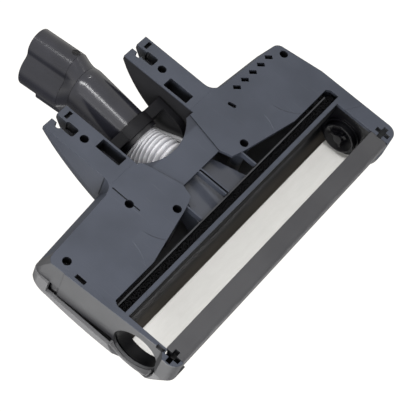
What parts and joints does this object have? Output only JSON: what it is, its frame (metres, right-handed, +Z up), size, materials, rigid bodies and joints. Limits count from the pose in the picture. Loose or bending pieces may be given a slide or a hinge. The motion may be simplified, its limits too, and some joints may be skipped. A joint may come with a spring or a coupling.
{
  "type": "vacuum floor brush head",
  "caption": "Powered vacuum floor head: flat sole, empty roller chamber with clear window, two rear arms, and a tilting, swivelling neck on a corrugated hose.",
  "frame": {"origin": "middle of the bounding box, on the sole plane", "axes": "+Z up from the floor, +Y towards the neck, +X towards the open end of the roller chamber"},
  "size_m": [0.2564, 0.2303, 0.0578],
  "materials": {
    "slate": "fine satin grain",
    "cover": "satin",
    "bar": "satin",
    "liner_black": "gloss",
    "clear": "clear",
    "strip": "matt",
    "duct": "gloss",
    "hose": "satin",
    "dark_plastic": "satin",
    "neck_black": "gloss",
    "steel": "bright",
    "bronze": "sintered",
    "button_red": "gloss",
    "lead": "matt",
    "contact": "bright"
  },
  "bodies": {
    "head": {"lower_housing": "slate", "end_wall": "slate", "arm_right": "slate", "arm_left": "slate", "upper_housing": "cover", "chamber_liner": "liner_black", "clear_window": "clear", "front_bar": "bar", "scraper_strip": "strip", "strip_channel": "dark_plastic", "suction_duct": "duct", "hose_collar": "dark_plastic", "hose": "hose", "power_lead": "lead", "housing_screws": "steel", "pivot_bushes": "bronze", "drive_wall": "dark_plastic", "hub_bearing": "bronze", "motor": "steel", "motor_cradle": "dark_plastic", "drive_belt": "strip"},
    "yoke": {"yoke": "neck_black", "pivot_pins": "steel", "hose_cuff": "dark_plastic"},
    "neck": {"elbow": "neck_black", "neck_collar": "neck_black", "neck_screw": "steel", "neck_tube": "neck_black", "contact_block": "dark_plastic", "contact_pins": "contact"},
    "button": {"release_button": "button_red"},
    "hub": {"drive_hub": "dark_plastic", "hub_pulley": "dark_plastic"},
    "rotor": {"motor_shaft": "steel", "motor_pulley": "steel"}
  },
  "joints": [
    {"name": "neck_tilt", "type": "hinge", "parent": "head", "child": "yoke", "pos_m": [0, 0.0084, 0.027], "axis": [1, 0, 0], "range_deg": [0, 80], "deforming": ["hose", "power_lead"]},
    {"name": "neck_swivel", "type": "hinge", "parent": "yoke", "child": "neck", "pos_m": [0, 0.0084, 0.027], "axis": [0, 0.9877, -0.1564], "range_deg": [-70, 70]},
    {"name": "button_press", "type": "slide", "parent": "neck", "child": "button", "axis": [0, 0.1564, -0.9877], "range_m": [0, 0.002], "stiffness_N_per_m": 400},
    {"name": "hub_spin", "type": "hinge", "parent": "head", "child": "hub", "pos_m": [-0.114, -0.084, 0.0238], "axis": [1, 0, 0], "continuous": true},
    {"name": "motor_spin", "type": "hinge", "parent": "head", "child": "rotor", "pos_m": [-0.104, -0.0308, 0.02], "axis": [1, 0, 0], "continuous": true}
  ],
  "couplings": [
    {"joint": "motor_spin", "follows": "hub_spin", "ratio": 1.8333}
  ]
}
